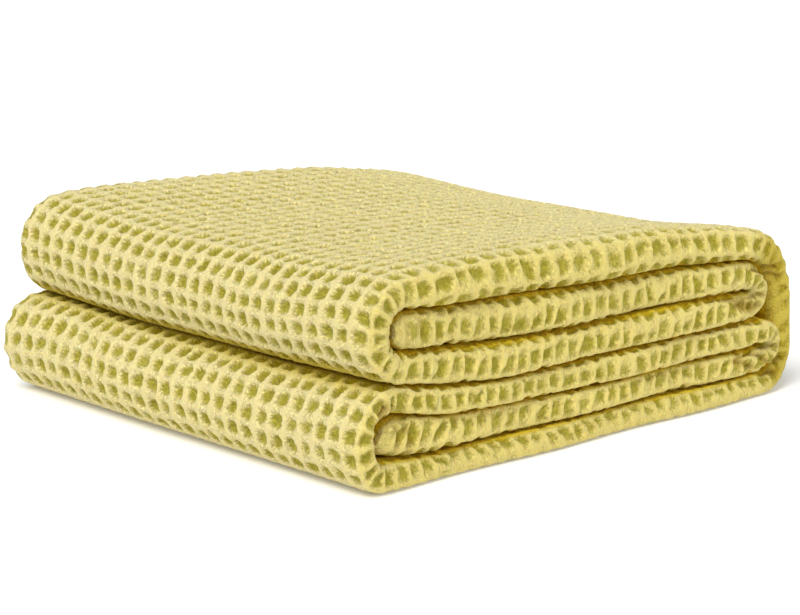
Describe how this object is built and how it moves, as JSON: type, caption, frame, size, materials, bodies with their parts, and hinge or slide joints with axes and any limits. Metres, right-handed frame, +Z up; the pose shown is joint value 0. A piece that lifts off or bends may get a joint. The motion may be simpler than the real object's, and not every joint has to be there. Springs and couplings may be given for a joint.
{
  "type": "folded waffle weave cotton blanket",
  "caption": "Waffle weave cotton blanket folded into a flat rectangular pile with rounded fold edges.",
  "frame": {"origin": "middle of the pile's underside, on the surface it lies on", "axes": "+Z up, +X along the folded panels towards the side that is wrapped round, -Y towards the rounded fold edges at the front"},
  "size_m": [0.327, 0.2954, 0.1073],
  "materials": {
    "yellow_cotton": "matte waffle weave"
  },
  "bodies": {
    "root": {"folded_blanket": "yellow_cotton"}
  },
  "joints": []
}
